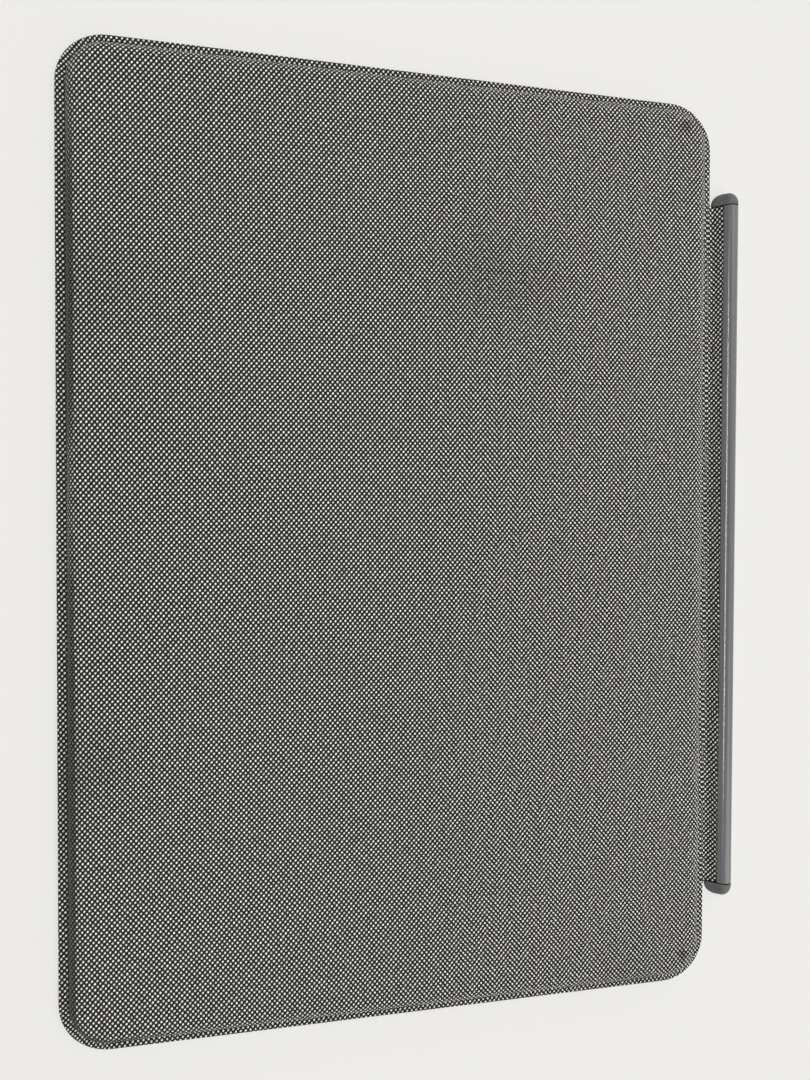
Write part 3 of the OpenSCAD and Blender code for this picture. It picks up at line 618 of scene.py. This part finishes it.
# hard materials
def satinPlastic(name, shade, roughness=0.42, grain=0.02, fleck=9.0, **fixed):
    finish = Finish(name, **fixed)
    at = finish.place()
    fine, broad = finish.noise(at, fleck, 2), finish.noise(at, 0.06, 3)
    mottled = fine * 0.7 + broad * 0.3
    finish.fix(
        Base_Color=finish.blend(broad, scaled(shade, 0.9), scaled(shade, 1.08)),
        Roughness=finish.ease(mottled, 0.25, 0.75, roughness - 0.06, roughness + 0.08),
        Normal=finish.bump(fine, grain, 0.5),
    )
    return finish


# connector bar
barCoat = {"Coat_Weight": 0.7, "Coat_Roughness": 0.15}
barFinish = satinPlastic("barPlastic", tone(85, 87, 89), 0.22, 0.006, **barCoat)
capFinish = satinPlastic("endCapPlastic", tone(84, 85, 86), 0.5, 0.05, 5.0)
# near-black finish of the seam ring between bar and cap: painted shade of the gap
seamShade = satinPlastic("seamPaintedShade", tone(10, 10, 10), 0.8, 0.02, 6.0, Specular_IOR_Level=0.1)


def barOutline():
    slope, foot = bar["slope"], bar["foot"]
    points = [bar["seatEnd"], bar["skinEnd"]]
    points += arc(bar["middle"], bar["radius"], 90 + slope, 0, 40)
    points += arc((bar["out"] - foot, foot), foot, 0, -90, 12)
    points += roundCorners(bar["slot"], bar["slotRound"])
    return points + bar["lip"] + arc(bar["tip"], bar["tipRadius"], 270, 90 + slope, 8)


def buildBar():
    bm = bmesh.new()
    outline = [(panel["edge"] + u, z) for u, z in barOutline()]
    for ring in sweep(bm, outline, (-bar["half"], bar["half"])):
        edges = [bm.edges.get((ring[i - 1], ring[i])) for i in range(len(ring))]
        bmesh.ops.triangle_fill(bm, use_beauty=True, edges=edges)
    piece = meshPiece("barCover", bm, [barFinish], sharp=24)
    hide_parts("bar_shell")
    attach(piece, "connector_bar")


buildBar()


def hullLoop(points):  # convex outline of points in a plane, anticlockwise
    points = sorted(set((round(u, 5), round(z, 5)) for u, z in points))

    def turnsBack(a, b, c):
        return (b[0] - a[0]) * (c[1] - a[1]) <= (b[1] - a[1]) * (c[0] - a[0])

    def half(row):
        made = []
        for p in row:
            while len(made) > 1 and turnsBack(made[-2], made[-1], p):
                made.pop()
            made.append(p)
        return made[:-1]

    return half(points) + half(points[::-1])


def evenLoop(loop, count):  # the same number of points, evenly spaced along the outline
    closed = [Vector(p) for p in loop] + [Vector(loop[0])]
    run = lengthsAlong(closed)
    made, i = [], 0
    for k in range(count):
        want = run[-1] * k / count
        while run[i + 1] < want:
            i += 1
        made.append(closed[i].lerp(closed[i + 1], (want - run[i]) / max(run[i + 1] - run[i], 1e-9)))
    return made


caps = {
    "length": 4.1,
    "seam": 0.34,  # ring between bar and cap, painted near black as the shade in the gap
    "recess": 0.955,  # share of the outline that the ring keeps
    "bevel": (0.965, 0.12),
    "slab": 0.4,  # straight part before the dome
    "blunt": 2.3,  # higher is blunter at the thin tip
    "heel": (2.6, 0.0),  # lowest point at the tip
    "seat": (5.05, 2.35),  # where the dome is highest
    "tipGrow": 0.42,
    "tipReach": (2.5, 1.8),  # where the tip begins, and over how far
    "points": 72,
}


def capSections():  # step along the bar, with the share of the outline over the bar and at the tip
    seam, recess, slab = caps["seam"], caps["recess"], caps["slab"]
    share, step = caps["bevel"]
    sections = [(-seam, recess, recess), (0.0, recess, recess)]
    sections += [(0.0, share, share), (step, 1.0, 1.0), (slab, 1.0, 1.0)]
    for k in range(1, 13):
        rise = math.sin(math.radians(90 * k / 12.5))
        shares = [(1 - rise**power) ** (1 / power) for power in (2, caps["blunt"])]
        sections.append((slab + (caps["length"] - seam - slab) * rise, *shares))
    return sections


def buildCap(name, side, node):
    foot, (begin, reach) = bar["foot"], caps["tipReach"]
    tip = arc(bar["tip"], bar["tipRadius"] + caps["tipGrow"], 0, 360, 24)[:-1]
    body = arc(bar["middle"], bar["radius"], 0, 360, 72)[:-1]
    corner = arc((bar["out"] - foot, foot), foot, 0, 360, 32)[:-1]
    loop = evenLoop(hullLoop(tip + body + corner + [caps["heel"]]), caps["points"])
    seat, start = Vector(caps["seat"]), bar["half"] + caps["seam"]
    bm, rings = bmesh.new(), []
    for step, rounded, blunt in capSections():
        ring = []
        for p in loop:
            far = min(max(((p - seat).length - begin) / reach, 0), 1)
            q = seat + (p - seat) * (rounded + (blunt - rounded) * far)
            ring.append((panel["edge"] + q[0], q[1]))
        x = side * (start + step)
        rings.append([bm.verts.new((x * mm, y * mm, z * mm)) for y, z in ring])
    for n, (first, second) in enumerate(zip(rings, rings[1:])):
        joinRings(bm, first, second, 1 if n < 2 else 0)
    bm.faces.new(rings[0])
    bm.faces.new(rings[-1])
    piece = meshPiece(name, bm, [capFinish, seamShade], sharp=40)
    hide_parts(node)
    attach(piece, "connector_bar")


buildCap("capRight", 1, "end_cap_right")
buildCap("capLeft", -1, "end_cap_left")
print("bar and caps done")

# keys, row by row from the bar
keys = {
    "pitch": 16.8,
    "gap": 2.0,
    "field": 235.2,
    "rows": [74.85, 61.75, 45.15, 28.55, 11.95, -4.65],  # y from the panel's middle
    "depths": [7.6, 14.6, 14.6, 14.6, 14.6, 14.6],
    "halfDepth": 6.7,  # of the arrow keys
    "spaceRow": 5,
    "spaceBar": 4,  # places in that row, counted from 0
    "arrows": 7,
    "arrowPair": 8,
    "corner": 1.3,
    "leastCorner": 0.35,
    "front": 0.4,  # heights of the face and of the open side
    "back": 1.7,
    "skirt": 0.55,
    "top": 0.62,
    "edge": 0.22,
    "dish": 0.12,
    "dishRings": (0.2, 0.45, 0.7),  # shares of the way from the edge to the middle
    "sunk": 0.93,  # share of the dish at which the legends lie
    "letter": 4.6,  # sizes of the legends
    "word": 2.6,
    "ink": 0.006,
}
widths = [  # in pitches
    [1] * 14,
    [1] * 14,
    [1.25] + [1] * 12 + [0.75],
    [1.5] + [1] * 11 + [1.5],
    [2] + [1] * 10 + [2],
    [1, 1, 1, 1.25, 4.5, 1.25, 1, 1, 1, 1],
]
legends = [
    ["esc", "F1", "F2", "F3", "F4", "F5", "F6", "F7", "F8", "F9", "F10", "F11", "F12", ""],
    ["`", *"1234567890", "-", "=", "del"],
    ["tab", *"QWERTYUIOP", "[", "]", "\\"],
    ["caps", *"ASDFGHJKL", ";", "'", "return"],
    ["shift", *"ZXCVBNM", ",", ".", "/", "shift"],
    ["fn", "ctrl", "alt", "", "", "alt", "ctrl", "<", "^", ">"],
]
keyFinish = satinPlastic("keyPlastic", tone(58, 59, 61), 0.5, 0.02, 7.0)
inkFinish = satinPlastic("legendInk", tone(214, 215, 212), 0.6, 0.005, 12.0)


def roundedEdge(radius, degrees):  # how far in and down, from the side to the face
    turns = [math.radians(a) for a in degrees]
    return [(radius - radius * math.cos(a), radius - radius * math.sin(a)) for a in turns]


def addKey(bm, x, y, width, depth):
    edge, corner, front, least = keys["edge"], keys["corner"], keys["front"], keys["leastCorner"]
    section = [(keys["skirt"], keys["back"]), (0.0, keys["back"])]
    section += [(inset, front + down) for inset, down in roundedEdge(edge, (0, 25, 50, 72, 90))]
    reach = min(width, depth) / 2
    for share in keys["dishRings"]:
        level = front + keys["dish"] * (1 - (1 - share) ** 2)
        section.append((edge + (reach - edge) * share, level))
    rings = []
    for inset, z in section:
        radius = max(corner - inset * 0.8, least) if inset < reach * 0.6 else least
        radius = min(radius, reach - inset - 0.02)
        loop = roundedLoop(width - 2 * inset, depth - 2 * inset, radius, (x, y), 5)
        rings.append(addRing(bm, loop, z))
    joinAll(bm, rings)
    bm.faces.new(rings[-1])
    skirt = keys["skirt"]
    loop = roundedLoop(width - 2 * skirt, depth - 2 * skirt, corner - skirt, (x, y), 5)
    inner = addRing(bm, loop, front + keys["top"])
    joinRings(bm, rings[0], inner)
    bm.faces.new(inner)


def addLegend(bm, word, x, y):
    curve = bpy.data.curves.new("legend", "FONT")
    curve.body, curve.size = word, (keys["letter"] if len(word) == 1 else keys["word"]) * mm
    curve.align_x, curve.align_y = "CENTER", "CENTER"
    curve.extrude, curve.resolution_u = keys["ink"] * mm, 2
    shown = bpy.data.objects.new("legend", curve)
    bpy.context.scene.collection.objects.link(shown)
    bpy.context.view_layer.update()
    data = bpy.data.meshes.new_from_object(shown)
    level = keys["front"] + keys["dish"] * keys["sunk"]
    turned = Matrix.Rotation(math.pi, 4, "Y")  # it is read from below
    data.transform(Matrix.Translation((x * mm, y * mm, level * mm)) @ turned)
    before = len(bm.faces)
    bm.from_mesh(data)
    bm.faces.ensure_lookup_table()
    for face in bm.faces[before:]:
        face.material_index = 1
    bpy.data.objects.remove(shown)
    bpy.data.curves.remove(curve)
    bpy.data.meshes.remove(data)


def keyGroup(row, i):  # the node that holds a key
    letter = legends[row][i].lower() if 2 <= row <= 4 else ""
    if len(letter) == 1 and letter.isalpha():
        return "key_" + letter
    if row == keys["spaceRow"]:
        return "key_space" if i == keys["spaceBar"] else "bottom_keys"
    return ["function_keys", "number_keys", "side_keys", "side_keys", "side_keys"][row]


def keySpots():  # x, y, width, depth and legend of each key, by its node
    groups = {}
    pitch, half = keys["pitch"], keys["halfDepth"]
    for row, sizes in enumerate(widths):
        fromLeft, depth = 0, keys["depths"][row]
        y = panel["middle"] + keys["rows"][row]
        low = y - (depth - half) / 2
        for i, size in enumerate(sizes):
            x = keys["field"] / 2 - (fromLeft + size / 2) * pitch
            fromLeft += size
            spots = [(y, depth, legends[row][i])]
            if row == keys["spaceRow"] and i >= keys["arrows"]:
                spots = [(low, half, legends[row][i])]
                if i == keys["arrowPair"]:
                    spots = [(2 * y - low, half, "^"), (low, half, "v")]
            for spotY, spotDepth, word in spots:
                spot = (x, spotY, size * pitch - keys["gap"], spotDepth, word)
                groups.setdefault(keyGroup(row, i), []).append(spot)
    return groups


def buildKeys():
    for name, members in keyGroups.items():
        bm = bmesh.new()
        for x, y, width, depth, _ in members:
            addKey(bm, x, y, width, depth)
        for x, y, _, _, word in members:
            if word:
                addLegend(bm, word, x, y)
        piece = meshPiece("caps_" + name, bm, [keyFinish, inkFinish], sharp=50)
        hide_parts(name)
        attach(piece, nodes[name]["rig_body"])


keyGroups = keySpots()
buildKeys()
print("keys done")

# trackpad
pad = {"size": (104, 58), "corner": 3, "middle": -47.55, "face": 0.25, "back": 1.05, "edge": 0.2}
padCoat = {"Coat_Weight": 0.25, "Coat_Roughness": 0.2}
padFinish = satinPlastic("padGlass", tone(70, 72, 75), 0.3, 0.006, 11.0, **padCoat)


def buildPad():
    bm, rings = bmesh.new(), []
    (length, depth), middle = pad["size"], (0, panel["middle"] + pad["middle"])
    face, edge = pad["face"], pad["edge"]
    section = [(0.0, pad["back"]), (0.0, face + edge)]
    section += [(inset, face + down) for inset, down in roundedEdge(edge, (25, 50, 72, 90))]
    for inset, z in section:
        loop = roundedLoop(length - 2 * inset, depth - 2 * inset, pad["corner"] - inset, middle, 8)
        rings.append(addRing(bm, loop, z))
    joinAll(bm, rings)
    bm.faces.new(rings[0])
    bm.faces.new(rings[-1])
    piece = meshPiece("padFace", bm, [padFinish])
    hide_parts("trackpad_surface")
    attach(piece, "trackpad")


buildPad()
print("trackpad done")


# finishes of the solids that stay as they are
def brushedMetal(name, shade, roughness=0.3, stretch=(0.3, 6, 6)):
    finish = Finish(name, Metallic=1.0)
    at = finish.place()
    drawn = finish.noise(finish.vector("MULTIPLY", at, stretch), 1.0, 3)
    finish.fix(
        Base_Color=finish.blend(finish.noise(at, 0.15, 2), scaled(shade, 0.8), shade),
        Roughness=finish.ease(drawn, 0.25, 0.75, roughness - 0.08, roughness + 0.12),
        Normal=finish.bump(drawn, 0.01, 0.4),
    )
    return finish


def clearSheet(name, shade, alpha):
    finish = satinPlastic(name, shade, 0.3, 0.004, 5.0)
    cloudy = finish.noise(finish.place(), 0.4, 2)
    finish.fix(Alpha=finish.ease(cloudy, 0.3, 0.7, alpha - 0.05, alpha + 0.05))
    return finish


def circuitLayers(name, shade):  # solder mask with tracks just under it
    finish = Finish(name)
    at = finish.place()
    x, y, _ = finish.split(at)
    up, across = finish.sum("SINE", (x + y * 0.2) * 5.2), finish.sum("SINE", (y - x * 0.2) * 4.1)
    tracks = finish.ease(finish.sum("MAXIMUM", up, across), 0.86, 0.95)
    tracks = tracks * finish.ease(finish.noise(at, 0.35, 1), 0.45, 0.55)
    finish.fix(
        Base_Color=finish.blend(tracks, shade, scaled(shade, 1.9)),
        Roughness=finish.ease(tracks, 0, 1, 0.32, 0.42),
        Normal=finish.bump(tracks, 0.02, 0.6),
    )
    return finish


plainFinishes = {  # by material slot
    "tray_shell": satinPlastic("trayMoulding", tone(62, 64, 67), 0.5, 0.03, 4.0),
    "deck_frame": satinPlastic("deckMoulding", tone(74, 76, 79), 0.5, 0.03, 4.0),
    "key_grid": satinPlastic("gridMoulding", tone(46, 47, 49), 0.55, 0.02, 6.0),
    "link_plastic": satinPlastic("linkMoulding", tone(224, 224, 219), 0.4, 0.01, 6.0),
    "dome_rubber": satinPlastic("domeRubber", tone(190, 192, 190), 0.6, 0.02, 5.0),
    "membrane_film": clearSheet("membraneFilm", tone(196, 200, 196), 0.85),
    "steel_plate": brushedMetal("plateSteel", tone(176, 178, 180), 0.32),
    "light_sheet": clearSheet("lightSheet", tone(224, 228, 230), 0.8),
    "circuit_board": circuitLayers("boardLayers", tone(24, 84, 52)),
    "ribbon_film": plainCloth("flexFilm", tone(160, 98, 40)),
    "magnet_plating": brushedMetal("magnetNickel", tone(188, 190, 192), 0.22, (2, 2, 2)),
    "strip_plastic": satinPlastic("stripPlastic", tone(96, 98, 99), 0.5, 0.02, 8.0),
    "block_plastic": satinPlastic("blockPlastic", tone(44, 45, 47), 0.5, 0.02, 6.0),
    "contact_gold": brushedMetal("pinGold", tone(226, 190, 112), 0.2, (3, 3, 3)),
}
slotOf = {part["node"]: part["material_slot"] for part in frame["record"]["subparts"]}

# links and domes, cut into one piece for each group of keys
lifts = {"scissor_links": "links_", "rubber_domes": "domes_"}  # node, and start of its names


def splitByKey(node, prefix):
    data = nodes[node].data.copy()
    data.transform(nodes[node].matrix_world)
    centres = np.array([face.center[:2] for face in data.polygons]) / mm
    holders, away = [], []
    for name, members in keyGroups.items():
        for x, y, width, depth, _ in members:
            holders.append(name)
            off = np.abs(centres - (x, y)) - (width / 2, depth / 2)
            away.append(off.max(axis=1))
    owners = [holders[i] for i in np.argmin(away, axis=0)]
    for name in keyGroups:
        bm = bmesh.new()
        bm.from_mesh(data)
        bm.faces.ensure_lookup_table()
        others = [face for face, owner in zip(bm.faces, owners) if owner != name]
        bmesh.ops.delete(bm, geom=others, context="FACES")
        piece = meshPiece(prefix + name, bm, [plainFinishes[slotOf[node]]])
        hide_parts(node)
        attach(piece, "panel")
        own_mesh(piece)
    bpy.data.meshes.remove(data)


for node, prefix in lifts.items():
    splitByKey(node, prefix)
print("links and domes done")
for name, solid in nodes.items():
    if not solid.hide_render:
        solid.data.materials.clear()
        solid.data.materials.append(plainFinishes[slotOf[name]].material)
print("finishes done")

# floor, lamps and room
studio = {
    "floor": tone(100, 99, 97),  # what it throws back on the object
    "pale": tone(238, 237, 234),
    "seen": tone(237, 236, 233),
    "shadow": 0.3,  # how much of the lamps' light and shadow shows on the floor
    "fading": (700, 1600),  # mm from the middle where shadows on the floor fade out
    "reach": 3,  # metres from the middle to the floor's sides
    "drop": 0.2,  # mm under the object
    "sky": tone(236, 236, 234),
    "skyStrength": (0.0, 0.41),  # from the side away from the bar to the bar's side
    "skyTurn": (-0.9, 0.1),
    "horizon": (-0.02, 0.02),
}
lamps = {  # place, aim, size and watts
    "key": ((0.75, 0.5, 0.7), (0, 0, 0), (1.2, 1.2), 5.0),
    "fill": ((-0.8, 0.3, 0.65), (0, 0, 0), (1.2, 1.2), 4.5),
    "side": ((0.0, 0.5, 0.42), (0, 0, 0), (1.4, 0.6), 1.1),
    "ceiling": ((0.0, -0.46, 0.96), (0, 0.09, 0), (0.8, 0.05), 4.4),
    "under": ((0.0, 0.0, -0.95), (0, 0, 0), (1.2, 1.2), 11.0),
}


def seenDirectly(finish):  # 1 for what the camera sees, also in gloss and through clear pieces
    path = finish.node("ShaderNodeLightPath")
    kinds = ("Is Camera Ray", "Is Glossy Ray", "Is Transmission Ray")
    camera, gloss, through = [Signal(finish, path.outputs[kind]) for kind in kinds]
    return finish.sum("MAXIMUM", finish.sum("MAXIMUM", camera, gloss), through)


def buildFloor():
    bm = bmesh.new()
    bmesh.ops.create_grid(bm, x_segments=1, y_segments=1, size=studio["reach"])
    for vert in bm.verts:
        vert.co.z = -studio["drop"] * mm
    finish = Finish("paleFloor", Roughness=0.9, Specular_IOR_Level=0.1, Base_Color=studio["floor"])
    glow = finish.take("ShaderNodeEmission", 0, {}, {"Color": studio["seen"], "Strength": 1.0})
    lit = finish.take("ShaderNodeBsdfDiffuse", 0, {}, {"Color": studio["pale"]})
    clear = finish.take("ShaderNodeBsdfTransparent", 0)
    away = finish.vector("LENGTH", finish.place())
    seen = finish.mix(finish.ease(away, *studio["fading"], studio["shadow"], 0.0), glow, lit)
    shown = finish.mix(seenDirectly(finish), Signal(finish, finish.surface.outputs[0]), seen)
    behind = finish.take("ShaderNodeNewGeometry", "Backfacing")
    shadows = finish.take("ShaderNodeLightPath", "Is Shadow Ray")
    passing = finish.sum("MAXIMUM", behind, shadows)  # the object is lit and seen from below too
    out = finish.tree.nodes["Material Output"]
    finish.put(out.inputs["Surface"], finish.mix(passing, shown, clear))
    meshPiece("floor", bm, [finish], smooth=False, closed=False)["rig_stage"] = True


def hangLamps():
    for name, (spot, aim, size, watts) in lamps.items():
        lamp = bpy.data.lights.new(name, "AREA")
        lamp.energy, lamp.shape, (lamp.size, lamp.size_y) = watts, "RECTANGLE", size
        holder = bpy.data.objects.new(name, lamp)
        holder.location = spot
        holder.rotation_mode = "QUATERNION"
        holder.rotation_quaternion = (Vector(aim) - Vector(spot)).to_track_quat("-Z", "Y")
        bpy.context.scene.collection.objects.link(holder)


def fillRoom():  # light from above the horizon, and a pale room to look at
    world = bpy.data.worlds.new("studio")
    bpy.context.scene.world = world
    world.use_nodes = True
    room = Nodes(world.node_tree)
    _, y, z = room.split(room.take("ShaderNodeTexCoord", "Generated"))
    strength = room.ease(y, *studio["skyTurn"], *studio["skyStrength"])
    sky = world.node_tree.nodes["Background"]
    room.put(sky.inputs["Color"], studio["sky"])
    room.put(sky.inputs["Strength"], strength * room.ease(z, *studio["horizon"]))
    pale = room.take("ShaderNodeBackground", 0, {}, {"Color": studio["seen"], "Strength": 1.0})
    out = world.node_tree.nodes["World Output"]
    sky = Signal(room, sky.outputs[0])
    room.put(out.inputs["Surface"], room.mix(seenDirectly(room), sky, pale))


buildFloor()
hangLamps()
fillRoom()
print("floor, lamps and room done")

# camera, looking down on the back
view = {
    "place": (-0.005779, -0.046796, 0.205595),
    "right": (-0.00342226513, 0.979705166, 0.200414759),
    "down": (0.999826068, -0.000322106748, 0.0186475265),
    "ahead": (0.018333633, 0.200443718, -0.979533661),
    "lens": 26.0,
    "sensor": 36.0,
    "clip": (0.01, 10),
}
camera = bpy.data.cameras.new("camera")
camera.lens, camera.sensor_width, camera.sensor_fit = view["lens"], view["sensor"], "AUTO"
camera.clip_start, camera.clip_end = view["clip"]
eye = bpy.data.objects.new("camera", camera)
turn = Matrix((view["right"], [-v for v in view["down"]], [-v for v in view["ahead"]])).transposed()
eye.matrix_world = Matrix.Translation(view["place"]) @ turn.to_4x4()
bpy.context.scene.collection.objects.link(eye)
bpy.context.scene.camera = eye
bpy.context.scene.view_settings.view_transform = "Standard"

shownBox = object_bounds()
for label, (low, high) in (("cad", cadBox), ("shown", shownBox)):
    print("size", label, [round((b - a) / mm, 2) for a, b in zip(low, high)])
